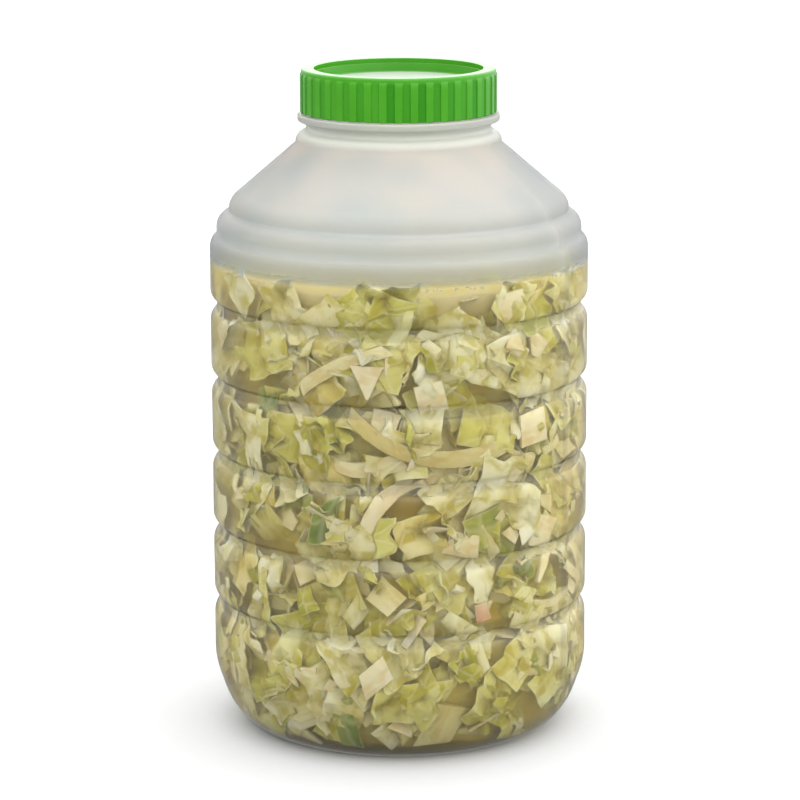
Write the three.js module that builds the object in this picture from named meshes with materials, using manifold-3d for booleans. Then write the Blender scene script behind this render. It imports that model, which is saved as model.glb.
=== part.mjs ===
// Plastic fermentation jar: a blow-moulded translucent jar with ring grooves, a ribbed screw lid
// with a sunk top, and a filling of chopped cabbage. Millimetres, +Z up, standing on z = 0.
import * as THREE from 'three';
import { mergeVertices } from 'three/addons/utils/BufferGeometryUtils.js';
import Module from 'manifold-3d';

// Jar: body, foot and heel
const bodyRadius = 84;
const wall = 1.4;
const jarSides = 36;
const foot = { radius: 65, width: 8, pushUp: 3 };
const heel = { radius: 80.9, height: 21, bulgeRadius: 76.5, bulgeHeight: 4.2 };
const heelStep = { bend: 23, top: 30 };

// Jar: the ring grooves pressed into the body
const grooveCount = 5;
const highestGroove = 190.6;
const groovePitch = 33.7;
const groove = { depth: 2.7, mouth: 12, bend: 7.2, floor: 5.2 };

// Jar: the two rounded steps above the top band, then the straight shoulder up to the neck
const bandTop = { bottom: 216.5, bend: 221 };
const lowerStep = { radius: 81, bottom: 222, side: 226, bend: 230.6, top: 232.6 };
const upperStep = { radius: 75.4, side: 234, bend: 238, top: 241.5 };
const shoulder = { lowerRadius: 70.5, upperRadius: 45.7, top: 262.9 };
const neck = { radius: 41, bend: 267.6, bottom: 268.6 };
const flange = { radius: 44.7, bottom: 272.6, top: 276, chamfer: 0.8 };
const mouth = { outerRadius: 40.6, innerRadius: 38.7, lip: 293.2 };

// Lid: a skirt with upright ribs, a flat rim and a plug wall that carries the sunk disc
const lidTop = 295.6;
const lidBottom = 276.5;
const lidSides = 40;
const skirt = { radius: 43, innerRadius: 41.5 };
const rim = { innerRadius: 37.3, bevel: 1.2, thickness: 1.7 };
const ledge = { radius: 36.7, drop: 2 };
const disc = { radius: 36, drop: 6, thickness: 1.8, plugRadius: 38.3 };
const rib = { width: 3.7, height: 17, proud: 0.7, rooted: 0.9 };

// Filling: a core of packed cabbage with the pieces that show fused on
const wallGap = 0.5;
const core = { inset: 6.5, sides: 24, floor: 6.4, edge: 193, top: 197, crown: 203 };
const heelTuck = 2.2;
const sidePieces = { count: 76, lowest: 9, highest: 199, lift: 0.9, tilt: 0.3 };
const topPieces = { count: 20, margin: 8, lift: 0.8, upright: 1.1 };
const chip = { smallest: 15, largest: 27, thickness: 4.6, skew: 0.35, uneven: 0.22 };
const flap = { length: 27, width: 21, thickness: 1.5, wave: 1.7, waves: 0.65, taper: 0.8, steps: 4 };
const strip = { width: 6.5, thickness: 4, steps: 8 };

// Long strips of leaf rib that lie against the wall: two at the front, four more round the sides.
// Angles run about +Z from +X; slope is the rise of the strip, and bow its sag or arch.
const strips = [
  { angle: -1.43, height: 149, length: 75, slope: -0.15, bow: -14 },
  { angle: -1.88, height: 178, length: 41, slope: 0.46, bow: 3 },
  { angle: -0.1, height: 86, length: 52, slope: 0.5, bow: 6 },
  { angle: 1.1, height: 132, length: 60, slope: -0.4, bow: 7 },
  { angle: 2.3, height: 60, length: 48, slope: 0.3, bow: -5 },
  { angle: 3.5, height: 112, length: 56, slope: 0.6, bow: -6 },
];

const goldenAngle = Math.PI * (3 - Math.sqrt(5));
const fullTurn = 2 * Math.PI;

const wasm = await Module();
wasm.setup();

// Repeatable random numbers from 0 to 1.
function randomFrom(seed) {
  let state = seed;
  return () => {
    state = (state + 0x6d2b79f5) | 0;
    let mixed = Math.imul(state ^ (state >>> 15), 1 | state);
    mixed = (mixed + Math.imul(mixed ^ (mixed >>> 7), 61 | mixed)) ^ mixed;
    return ((mixed ^ (mixed >>> 14)) >>> 0) / 4294967296;
  };
}

// A solid of revolution about Z from an outline of radius and height.
function turned(outline, sides) {
  const geometry = new THREE.LatheGeometry(outline, sides);
  geometry.rotateX(Math.PI / 2);
  return geometry;
}

function outlineOf(points) {
  return points.map(([radius, height]) => new THREE.Vector2(radius, height));
}

// The closed mesh of a geometry as a solid that can be joined and cut.
function solidOf(geometry) {
  const bare = geometry.clone();
  bare.deleteAttribute('normal');
  bare.deleteAttribute('uv');
  const merged = mergeVertices(bare, 1e-4);
  const corners = merged.index.array;
  const kept = [];
  for (let i = 0; i < corners.length; i += 3) {
    const [a, b, c] = corners.slice(i, i + 3);
    if (a !== b && b !== c && c !== a) kept.push(a, b, c);
  }
  const vertProperties = new Float32Array(merged.attributes.position.array);
  const triVerts = new Uint32Array(kept);
  return new wasm.Manifold(new wasm.Mesh({ numProp: 3, vertProperties, triVerts }));
}

// The largest body of a solid, with loose scraps dropped and sealed hollows filled.
function largestBody(solid) {
  return solid.decompose().sort((a, b) => b.volume() - a.volume())[0];
}

function geometryOf(solid) {
  const { vertProperties, triVerts } = solid.getMesh();
  const geometry = new THREE.BufferGeometry();
  geometry.setAttribute('position', new THREE.BufferAttribute(vertProperties, 3));
  geometry.setIndex(new THREE.BufferAttribute(triVerts, 1));
  return geometry;
}

function mesh(name, geometry, look) {
  const piece = new THREE.Mesh(geometry, new THREE.MeshStandardMaterial(look));
  piece.name = name;
  return piece;
}

// The wall of the body from the foot up to the neck, moved inwards by an inset.
function bodyOutline(inset, arcSteps) {
  const band = bodyRadius - inset;
  const dip = band - groove.depth;
  const low = lowerStep.radius - inset;
  const high = upperStep.radius - inset;
  const throat = shoulder.upperRadius - inset;
  const path = new THREE.Path();
  path.moveTo(foot.radius - inset / 2, inset);
  path.quadraticCurveTo(
    heel.bulgeRadius - inset, heel.bulgeHeight + inset, heel.radius - inset, heel.height,
  );
  path.quadraticCurveTo(band, heelStep.bend, band, heelStep.top);
  for (let i = grooveCount - 1; i >= 0; i -= 1) {
    const middle = highestGroove - i * groovePitch;
    path.lineTo(band, middle - groove.mouth / 2);
    path.quadraticCurveTo(band, middle - groove.bend / 2, dip, middle - groove.floor / 2);
    path.lineTo(dip, middle + groove.floor / 2);
    path.quadraticCurveTo(band, middle + groove.bend / 2, band, middle + groove.mouth / 2);
  }
  path.lineTo(band, bandTop.bottom);
  path.quadraticCurveTo(band, bandTop.bend, low, lowerStep.bottom);
  path.lineTo(low, lowerStep.side);
  path.quadraticCurveTo(low, lowerStep.bend, high, lowerStep.top);
  path.lineTo(high, upperStep.side);
  path.quadraticCurveTo(high, upperStep.bend, shoulder.lowerRadius - inset, upperStep.top);
  path.lineTo(throat, shoulder.top);
  path.quadraticCurveTo(throat, neck.bend, neck.radius - inset, neck.bottom);
  return path.getPoints(arcSteps);
}

// Blow-moulded jar: one thin wall round the whole hollow, open at the mouth.
function makeJar() {
  const pushUpRadius = foot.radius - foot.width - foot.pushUp;
  const base = outlineOf([
    [0, foot.pushUp],
    [pushUpRadius, foot.pushUp],
    [foot.radius - foot.width, 0],
  ]);
  const finish = outlineOf([
    [neck.radius, flange.bottom],
    [flange.radius, flange.bottom + flange.chamfer],
    [flange.radius, flange.top - flange.chamfer],
    [flange.radius - flange.chamfer, flange.top],
    [mouth.outerRadius, flange.top],
    [mouth.outerRadius, mouth.lip],
    [mouth.innerRadius, mouth.lip],
  ]);
  const inside = bodyOutline(wall, 1).reverse();
  const floor = outlineOf([
    [pushUpRadius, foot.pushUp + wall],
    [0, foot.pushUp + wall],
  ]);
  const outline = [...base, ...bodyOutline(0, 2), ...finish, ...inside, ...floor];
  const look = { color: 0xe4e4dc, roughness: 0.35, transparent: true, opacity: 0.45 };
  return mesh('jar', turned(outline, jarSides), look);
}

// Screw lid: skirt, rim, plug wall and sunk disc in one moulding, ribbed round the skirt.
function makeLid() {
  const discTop = lidTop - disc.drop;
  const channelTop = lidTop - rim.thickness;
  const outline = outlineOf([
    [0, discTop - disc.thickness],
    [disc.plugRadius, discTop - disc.thickness],
    [disc.plugRadius, channelTop],
    [skirt.innerRadius, channelTop],
    [skirt.innerRadius, lidBottom],
    [skirt.radius, lidBottom],
    [skirt.radius, lidTop - rim.bevel],
    [skirt.radius - rim.bevel, lidTop],
    [rim.innerRadius, lidTop],
    [rim.innerRadius, lidTop - ledge.drop],
    [ledge.radius, lidTop - ledge.drop],
    [disc.radius, discTop],
    [0, discTop],
  ]);
  let lid = solidOf(turned(outline, lidSides));
  for (let i = 0; i < lidSides; i += 1) {
    const bar = new THREE.BoxGeometry(rib.rooted + rib.proud, rib.width, rib.height);
    bar.translate(skirt.radius + (rib.proud - rib.rooted) / 2, 0, lidBottom + rib.height / 2);
    bar.rotateZ((i / lidSides) * fullTurn);
    lid = lid.add(solidOf(bar));
  }
  return mesh('lid', geometryOf(lid), { color: 0x4aa017, roughness: 0.35 });
}

// A cut square of the thick leaf base: an uneven four-cornered slab.
function makeChip(random) {
  const size = THREE.MathUtils.lerp(chip.smallest, chip.largest, random() ** 2);
  const corners = [];
  for (let i = 0; i < 4; i += 1) {
    const angle = ((i + chip.skew * (random() - 0.5)) / 4) * fullTurn;
    const reach = size * (0.5 + chip.uneven * random());
    corners.push(new THREE.Vector2(reach * Math.cos(angle), reach * Math.sin(angle)));
  }
  const depth = chip.thickness * (0.7 + 0.6 * random());
  const outline = new THREE.Shape(corners);
  const slab = new THREE.ExtrudeGeometry(outline, { depth, bevelEnabled: false });
  return slab.translate(0, 0, -depth / 2);
}

// A flap of thin leaf: a wavy band of even thickness, narrower at one end.
function makeFlap(random) {
  const length = flap.length * (0.7 + 0.6 * random());
  const width = flap.width * (0.6 + 0.6 * random());
  const phase = random() * fullTurn;
  const taper = flap.taper * (random() - 0.5);
  const upper = [];
  const lower = [];
  for (let i = 0; i <= flap.steps; i += 1) {
    const share = i / flap.steps;
    const along = (share - 0.5) * length;
    const lift = flap.wave * Math.sin(phase + share * flap.waves * fullTurn);
    upper.push(new THREE.Vector2(along, lift + flap.thickness / 2));
    lower.push(new THREE.Vector2(along, lift - flap.thickness / 2));
  }
  const section = new THREE.Shape([...lower, ...upper.reverse()]);
  const band = new THREE.ExtrudeGeometry(section, { depth: width, bevelEnabled: false });
  band.translate(0, 0, -width / 2);
  band.rotateX(Math.PI / 2);
  const place = band.attributes.position;
  for (let i = 0; i < place.count; i += 1) {
    place.setY(i, place.getY(i) * (1 + (taper * place.getX(i)) / length));
  }
  return band;
}

// A long strip of leaf rib that follows the side of the core.
function makeStrip({ angle, height, length, slope, bow }) {
  const radius = bodyRadius - core.inset;
  const points = [];
  for (let i = 0; i <= strip.steps; i += 1) {
    const share = i / strip.steps - 0.5;
    const turn = angle + (share * length * Math.cos(slope)) / radius;
    const rise = share * length * Math.sin(slope) + bow * Math.cos(share * Math.PI);
    points.push(new THREE.Vector3(radius * Math.cos(turn), radius * Math.sin(turn), height + rise));
  }
  const half = strip.width / 2;
  const deep = strip.thickness / 2;
  const section = new THREE.Shape(
    outlineOf([[-half, -deep], [half, -deep], [half, deep], [-half, deep]]),
  );
  const extrudePath = new THREE.CatmullRomCurve3(points);
  return new THREE.ExtrudeGeometry(section, { steps: strip.steps, extrudePath });
}

// The core's radius at a height: inside the grooves by the core's inset, and tucked in at the heel.
function coreRadiusAt(height) {
  const below = THREE.MathUtils.clamp((heel.height - height) / heel.height, 0, 1);
  const tuck = (heel.radius - foot.radius) * below ** heelTuck;
  return bodyRadius - groove.depth - core.inset - tuck;
}

// Turns a piece to face outwards from the core, spun and tilted, and moves it to its place.
function laid(piece, place, outward, spin, tilt) {
  const turn = new THREE.Quaternion().setFromUnitVectors(new THREE.Vector3(0, 0, 1), outward);
  piece.rotateZ(spin);
  piece.rotateX(tilt);
  piece.applyQuaternion(turn);
  return piece.translate(place.x, place.y, place.z);
}

function placeAt(radius, angle, height) {
  return new THREE.Vector3(radius * Math.cos(angle), radius * Math.sin(angle), height);
}

// The packed middle of the filling, with a low crown.
function makeCore() {
  const sideRadius = coreRadiusAt(heel.height);
  const outline = new THREE.Path();
  outline.moveTo(0, core.floor);
  outline.lineTo(coreRadiusAt(core.floor), core.floor);
  outline.lineTo(coreRadiusAt(heel.height / 2), heel.height / 2);
  outline.lineTo(sideRadius, heel.height);
  outline.lineTo(sideRadius, core.edge);
  outline.quadraticCurveTo(sideRadius, core.top, 0, core.crown);
  return solidOf(turned(outline.getPoints(2), core.sides));
}

// Pieces pressed against the wall, on a spiral that spreads them evenly.
function makeSidePieces(random) {
  const pieces = [];
  for (let i = 0; i < sidePieces.count; i += 1) {
    const share = (i + 0.5) / sidePieces.count;
    const height = THREE.MathUtils.lerp(sidePieces.lowest, sidePieces.highest, share);
    const angle = i * goldenAngle;
    const droop = Math.max(0, (heel.height - height) / heel.height);
    const outward = new THREE.Vector3(Math.cos(angle), Math.sin(angle), -droop).normalize();
    const place = placeAt(coreRadiusAt(height) + sidePieces.lift + random(), angle, height);
    const piece = i % 4 === 3 ? makeFlap(random) : makeChip(random);
    const spin = random() * fullTurn;
    const tilt = sidePieces.tilt * (random() - 0.5);
    pieces.push(solidOf(laid(piece, place, outward, spin, tilt)));
  }
  return pieces;
}

// A loose layer of pieces over the crown, leaning every way.
function makeTopPieces(random) {
  const pieces = [];
  for (let i = 0; i < topPieces.count; i += 1) {
    const share = Math.sqrt((i + 0.5) / topPieces.count);
    const radius = share * (coreRadiusAt(heel.height) - topPieces.margin);
    const height = THREE.MathUtils.lerp(core.crown, core.top, share ** 2) + topPieces.lift;
    const lean = new THREE.Vector3(random() - 0.5, random() - 0.5, topPieces.upright).normalize();
    const piece = i % 3 === 2 ? makeFlap(random) : makeChip(random);
    const place = placeAt(radius, i * goldenAngle, height);
    pieces.push(solidOf(laid(piece, place, lean, random() * fullTurn, 0)));
  }
  return pieces;
}

// The jar's hollow with a small gap to the wall, which every piece is kept inside.
function makeRoom() {
  const inset = wall + wallGap;
  const outline = [
    ...outlineOf([[0, foot.pushUp + inset]]),
    ...bodyOutline(inset, 1),
    ...outlineOf([[0, neck.bottom]]),
  ];
  return solidOf(turned(outline, jarSides));
}

// Chopped cabbage: packed core, strips and cut pieces round its side, and a loose layer on top.
function makeCabbage() {
  const random = randomFrom(7);
  const pieces = strips.map((place) => solidOf(makeStrip(place)));
  pieces.push(...makeSidePieces(random), ...makeTopPieces(random));
  const heap = pieces.reduce((joined, piece) => joined.add(piece), makeCore());
  const cabbage = largestBody(heap.intersect(makeRoom()));
  return mesh('cabbage', geometryOf(cabbage), { color: 0xcfc58e, roughness: 0.6 });
}

const fermentationJar = new THREE.Group();
fermentationJar.add(makeJar(), makeLid(), makeCabbage());

export default fermentationJar;
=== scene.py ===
import math
import bmesh
import bpy
import numpy as np
from mathutils import Matrix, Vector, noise


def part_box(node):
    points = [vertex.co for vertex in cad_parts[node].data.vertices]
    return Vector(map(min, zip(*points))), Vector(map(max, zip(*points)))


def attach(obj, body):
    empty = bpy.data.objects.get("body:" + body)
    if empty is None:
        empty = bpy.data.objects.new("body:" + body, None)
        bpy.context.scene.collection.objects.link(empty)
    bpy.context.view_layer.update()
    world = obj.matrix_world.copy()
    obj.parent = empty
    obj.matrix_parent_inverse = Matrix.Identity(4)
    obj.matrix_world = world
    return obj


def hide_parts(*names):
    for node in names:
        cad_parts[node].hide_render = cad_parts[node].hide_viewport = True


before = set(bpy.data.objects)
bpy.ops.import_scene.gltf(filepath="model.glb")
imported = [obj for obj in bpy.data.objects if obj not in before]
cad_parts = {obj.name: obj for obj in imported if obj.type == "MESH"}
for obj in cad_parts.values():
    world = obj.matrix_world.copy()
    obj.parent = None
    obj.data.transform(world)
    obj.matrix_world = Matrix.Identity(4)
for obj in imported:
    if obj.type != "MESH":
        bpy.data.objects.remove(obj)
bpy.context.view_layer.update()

# Jar: blown in one piece from milky polypropylene. Ring grooves stiffen the thin wall, a rounded heel
# stands on a narrow foot, and two steps and a straight shoulder lead up to a neck with a flange that the
# lid stops against.
MM = 0.001
body_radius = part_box("jar")[1][0] / MM
wall = 1.4
foot_radius, foot_width, push_up, push_up_bend = 65, 8, 3, 1
heel_radius, heel_height = 81.1, 20.5
heel_bulge_radius, heel_bulge_height = 76.5, 4.2
heel_step_bend, heel_step_top = 27.5, 34
groove_middles = [191.5 - 33.7 * i for i in (4, 3, 2, 1, 0)]
groove_depth, groove_mouth, groove_bend, groove_floor = 2.9, 13.5, 7.6, 4.4
groove_fillet = 1.6
band_top, band_top_bend = 216.5, 221
low_step_radius, low_step_bottom, low_step_side, low_step_bend, low_step_top = 81, 222, 226, 230.6, 232.6
high_step_radius, high_step_side, high_step_bend, high_step_top = 75.4, 234, 238, 241.5
shoulder_foot_radius, shoulder_top_radius, shoulder_top = 70.5, 45.7, 262.9
neck_radius, neck_bend, neck_bottom = 41, 267.6, 268.6
flange_radius, flange_bottom, flange_top, flange_round = 44.7, 272.6, 276, 0.9
mouth_radius, bore_radius, lip_height = 40.6, 38.7, 293.2
jar_steps = 160
parting_angle = math.radians(-32)
parting_half_width, parting_height = 0.8, 0.12
wall_waver, wall_waver_length = 0.12, 38
brine_level = 210.8
dry_edge, damp_drop, damp_rise = 3, 0.5, 11
milky_clearness, neck_milk = 0.965, 0.28
blotch_low, blotch_high = 0.36, 0.64


def bend(start, corner, end, steps=6):
    """The points of a rounded corner after its start, as a curve that its corner point pulls outwards."""
    shares = [i / steps for i in range(1, steps + 1)]
    return [
        tuple((1 - t) ** 2 * a + 2 * t * (1 - t) * b + t * t * c for a, b, c in zip(start, corner, end))
        for t in shares
    ]


def wall_outline(inset):
    """The wall's profile from the foot to the neck as (radius, height) in mm, moved inwards by an inset."""
    band, dip = body_radius - inset, body_radius - groove_depth - inset
    low, high, throat = low_step_radius - inset, high_step_radius - inset, shoulder_top_radius - inset
    line = [(foot_radius - inset / 2, inset)]
    heel_end = (heel_radius - inset, heel_height)
    line += bend(line[-1], (heel_bulge_radius - inset, heel_bulge_height + inset), heel_end, steps=10)
    line += bend(line[-1], (band, heel_step_bend), (band, heel_step_top))
    for middle in groove_middles:
        for side in (-1, 1):
            mouth = (band, middle + side * groove_mouth / 2)
            corner = (band, middle + side * groove_bend / 2)
            floor = (dip, middle + side * groove_floor / 2)
            floor_inner = (dip, middle + side * (groove_floor / 2 - groove_fillet))
            rise = [mouth] + bend(mouth, corner, floor)[:-1]
            rise += bend(rise[-1], floor, floor_inner, steps=4)
            line += rise if side < 0 else rise[::-1]
    line.append((band, band_top))
    line += bend(line[-1], (band, band_top_bend), (low, low_step_bottom))
    line.append((low, low_step_side))
    line += bend(line[-1], (low, low_step_bend), (high, low_step_top))
    line.append((high, high_step_side))
    line += bend(line[-1], (high, high_step_bend), (shoulder_foot_radius - inset, high_step_top))
    line.append((throat, shoulder_top))
    line += bend(line[-1], (throat, neck_bend), (neck_radius - inset, neck_bottom))
    return line


def spun(outline, steps):
    """A bmesh turned about Z from an outline in mm that starts and ends on the axis."""
    bm = bmesh.new()
    verts = [bm.verts.new((radius * MM, 0, height * MM)) for radius, height in outline]
    edges = [bm.edges.new(pair) for pair in zip(verts, verts[1:])]
    bmesh.ops.spin(bm, geom=verts + edges, axis=(0, 0, 1), angle=2 * math.pi, steps=steps, use_merge=True)
    bmesh.ops.remove_doubles(bm, verts=bm.verts, dist=1e-7)
    bmesh.ops.recalc_face_normals(bm, faces=bm.faces)
    return bm


def finished(name, bm, material, body_slot, *nodes):
    """Turns a bmesh into a smooth-shaded piece that rides on the jar and stands for CAD nodes."""
    mesh = bpy.data.meshes.new(name)
    bm.to_mesh(mesh)
    bm.free()
    return placed(name, mesh, material, body_slot, *nodes)


def placed(name, mesh, material, body_slot, *nodes):
    mesh.shade_smooth()
    mesh.materials.append(material)
    piece = bpy.data.objects.new(name, mesh)
    bpy.context.scene.collection.objects.link(piece)
    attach(piece, "root")
    if nodes:
        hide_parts(*nodes)
    return piece


def linear(hex_colour):
    """An sRGB hex colour as a linear RGBA."""
    parts = [int(hex_colour[i:i + 2], 16) / 255 for i in (1, 3, 5)]
    return tuple(c / 12.92 if c <= 0.04045 else ((c + 0.055) / 1.055) ** 2.4 for c in parts) + (1.0,)


def add_node(tree, kind, values=None, links=None, **settings):
    """Adds a shader node with its settings, its socket values and the links that come into it."""
    node = tree.nodes.new(kind)
    for name, value in settings.items():
        setattr(node, name, value)
    for socket, value in (values or {}).items():
        node.inputs[socket].default_value = value
    for socket, source in (links or {}).items():
        tree.links.new(source, node.inputs[socket])
    return node


def new_material(name):
    """An empty node material and its output node."""
    material = bpy.data.materials.new(name)
    material.use_nodes = True
    material.node_tree.nodes.clear()
    return material, material.node_tree, material.node_tree.nodes.new("ShaderNodeOutputMaterial")


def let_through(tree, shader, clear, output):
    """Ends a clear material so that light shines through it on what is inside, a little dimmed on its way."""
    path = add_node(tree, "ShaderNodeLightPath")
    mixed = add_node(
        tree, "ShaderNodeMixShader",
        links={0: path.outputs["Is Shadow Ray"], 1: shader.outputs["BSDF"], 2: clear.outputs["BSDF"]})
    tree.links.new(mixed.outputs["Shader"], output.inputs["Surface"])


# Blown polypropylene: thin, milky and softly glossy. Where brine wets its fine roughness it turns clear, so
# what touches it shows sharply and what lies deeper blurs. Dry, above the brine, it stays cloudy, with
# faint blotches. At the neck, where it is thick, it is milkier and paler; this is partly painted light,
# which lifts the shade that the lid casts on the neck.
polypropylene_blown, tree, output = new_material("polypropylene_blown")
coords = add_node(tree, "ShaderNodeTexCoord")
height = add_node(tree, "ShaderNodeSeparateXYZ", links={"Vector": coords.outputs["Object"]})
dry = add_node(
    tree, "ShaderNodeMapRange", {"From Min": brine_level * MM, "From Max": (brine_level + dry_edge) * MM},
    {"Value": height.outputs["Z"]}, interpolation_type="SMOOTHSTEP")
flow = add_node(tree, "ShaderNodeMapping", {"Scale": (1, 1, 0.25)}, {"Vector": coords.outputs["Object"]})
haze = add_node(
    tree, "ShaderNodeTexNoise", {"Scale": 1 / (25 * MM), "Detail": 3.0}, {"Vector": flow.outputs["Vector"]})
wet_haze = add_node(
    tree, "ShaderNodeMapRange", {"To Min": 0.12, "To Max": 0.19}, {"Value": haze.outputs["Fac"]})
dry_haze = add_node(
    tree, "ShaderNodeMapRange", {"To Min": 0.42, "To Max": 0.54}, {"Value": haze.outputs["Fac"]})
damp = add_node(
    tree, "ShaderNodeMapRange",
    {"From Min": (brine_level - damp_drop) * MM, "From Max": (brine_level + damp_rise) * MM},
    {"Value": height.outputs["Z"]})
roughness = add_node(
    tree, "ShaderNodeMix",
    links={
        "Factor": damp.outputs["Result"],
        "A": wet_haze.outputs["Result"],
        "B": dry_haze.outputs["Result"],
    },
)
groove = add_node(tree, "ShaderNodeAttribute", attribute_name="groove")
milkiness = add_node(
    tree, "ShaderNodeMath", links={0: dry.outputs["Result"], 1: groove.outputs["Fac"]}, operation="MAXIMUM")
thin_clearness = add_node(
    tree, "ShaderNodeMapRange", {"To Min": 1.0, "To Max": milky_clearness},
    {"Value": milkiness.outputs["Value"]})
neck = add_node(
    tree, "ShaderNodeMapRange", {"From Min": shoulder_top * MM, "From Max": neck_bottom * MM},
    {"Value": height.outputs["Z"]}, interpolation_type="SMOOTHSTEP")
# Painted light, in part: the neck is made milkier, so that it shows paler in the lid's shade.
clearness = add_node(
    tree, "ShaderNodeMath", {0: -neck_milk},
    {1: neck.outputs["Result"], 2: thin_clearness.outputs["Result"]}, operation="MULTIPLY_ADD")
ripple = add_node(
    tree, "ShaderNodeTexNoise", {"Scale": 1 / (9 * MM), "Detail": 2.0}, {"Vector": coords.outputs["Object"]})
ripple_bump = add_node(
    tree, "ShaderNodeBump", {"Strength": 0.12, "Distance": 0.4 * MM}, {"Height": ripple.outputs["Fac"]})
blotch = add_node(
    tree, "ShaderNodeTexNoise", {"Scale": 1 / (34 * MM), "Detail": 1.0}, {"Vector": coords.outputs["Object"]})
blotch_share = add_node(
    tree, "ShaderNodeMapRange", {"From Min": blotch_low, "From Max": blotch_high},
    {"Value": blotch.outputs["Fac"]})
shoulder_tone = add_node(
    tree, "ShaderNodeMix", {"A": linear("#D4D7D4"), "B": linear("#EBE3DA")},
    {"Factor": blotch_share.outputs["Result"]}, data_type="RGBA")
breath = add_node(
    tree, "ShaderNodeMapRange", {"From Min": brine_level * MM, "From Max": shoulder_top * MM},
    {"Value": height.outputs["Z"]})
dry_tone = add_node(
    tree, "ShaderNodeMix", {"A": linear("#CAD2D8")},
    {"Factor": breath.outputs["Result"], "B": shoulder_tone.outputs["Result"]}, data_type="RGBA")
# Painted light: the neck is painted paler, lifting the shade that the lid casts on it.
neck_painted_lift = add_node(
    tree, "ShaderNodeMix", {"B": linear("#EEF1E7")},
    {"Factor": neck.outputs["Result"], "A": dry_tone.outputs["Result"]}, data_type="RGBA")
cloud = add_node(
    tree, "ShaderNodeMix", {"A": linear("#FCFBEE")},
    {"Factor": dry.outputs["Result"], "B": neck_painted_lift.outputs["Result"]}, data_type="RGBA")
wall_shader = add_node(
    tree, "ShaderNodeBsdfPrincipled", {"IOR": 1.4, "Specular IOR Level": 0.25},
    {
        "Base Color": cloud.outputs["Result"],
        "Roughness": roughness.outputs["Result"],
        "Transmission Weight": clearness.outputs["Value"],
        "Normal": ripple_bump.outputs["Normal"],
    },
)
shade = add_node(
    tree, "ShaderNodeMix", {"A": linear("#FFFFFC"), "B": linear("#F6F7F6")},
    {"Factor": dry.outputs["Result"]}, data_type="RGBA")
wall_shade = add_node(tree, "ShaderNodeBsdfTransparent", links={"Color": shade.outputs["Result"]})
let_through(tree, wall_shader, wall_shade, output)

base_line = [(0, push_up), (foot_radius - foot_width - push_up, push_up)]
base_line += bend(
    base_line[-1], (foot_radius - foot_width - push_up_bend, push_up), (foot_radius - foot_width, 0), steps=4)
flange_line = [(neck_radius, flange_bottom), (flange_radius - flange_round, flange_bottom)]
flange_line += bend(
    flange_line[-1], (flange_radius, flange_bottom), (flange_radius, flange_bottom + flange_round), steps=4)
flange_line.append((flange_radius, flange_top - flange_round))
flange_line += bend(
    flange_line[-1], (flange_radius, flange_top), (flange_radius - flange_round, flange_top), steps=4)
mouth_line = [(mouth_radius, flange_top), (mouth_radius, lip_height), (bore_radius, lip_height)]
inner_line = wall_outline(wall)
floor_line = [(foot_radius - foot_width - push_up, push_up + wall), (0, push_up + wall)]
jar_outline = base_line + wall_outline(0) + flange_line + mouth_line + inner_line[::-1] + floor_line

jar_bm = spun(jar_outline, jar_steps)
groove_layer = jar_bm.verts.layers.float.new("groove")
step_angle = 2 * math.pi / jar_steps
for vert in jar_bm.verts:
    reach = math.hypot(vert.co.x, vert.co.y)
    off_groove = min(abs(vert.co.z / MM - middle) for middle in groove_middles)
    vert[groove_layer] = 1.0 if off_groove < groove_floor / 2 else 0.0
    if reach < MM:
        continue
    angle = math.atan2(vert.co.y, vert.co.x)
    off_seam = (angle - parting_angle + math.pi / 2) % math.pi - math.pi / 2
    seam_side = parting_half_width * MM / reach
    if step_angle * 0.5 < abs(off_seam) < step_angle * 1.5:
        angle += math.copysign(seam_side, off_seam) - off_seam
    waver = noise.noise(vert.co / (wall_waver_length * MM)) * wall_waver * MM
    on_outside = vert.normal.x * vert.co.x + vert.normal.y * vert.co.y > 0
    seam_rise = parting_height * MM if abs(off_seam) < step_angle * 0.5 and on_outside else 0
    in_body = heel_height * MM < vert.co.z < shoulder_top * MM
    reach += (waver + seam_rise) if in_body else 0
    vert.co.x, vert.co.y = reach * math.cos(angle), reach * math.sin(angle)
finished("jar_wall", jar_bm, polypropylene_blown, "jar_plastic", "jar")

# Screw lid: moulded green polypropylene with upright grip ribs round the skirt, a flat rim, and a disc sunk
# below the rim on a plug wall that fits inside the neck. It is screwed down to the flange.
lid_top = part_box("lid")[1][2] / MM
lid_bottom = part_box("lid")[0][2] / MM
skirt_radius, skirt_inner_radius = 43, 41.5
rim_inner_radius, rim_round, rim_thickness = 37.3, 1.3, 1.7
ledge_radius, ledge_drop, ledge_round = 36.7, 2, 0.35
disc_radius, disc_drop, disc_thickness, disc_fillet, plug_radius = 36, 6, 1.8, 0.9, 38.3
skirt_edge, skirt_skin, skirt_first, skirt_spacing, skirt_rows = 0.3, 0.5, 0.9, 1.9, 8
rib_count, rib_width, rib_proud, rib_edge = 40, 3.8, 0.5, 0.3
rib_top, rib_fade = lid_bottom + 17.4, 1.2
steps_per_rib, steps_on_rib = 12, 3
gap_mean, gap_swing, gap_least, gap_stride = 0.5, 1.2, 0.1, 1.7
lid_crease = math.radians(30)
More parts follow.
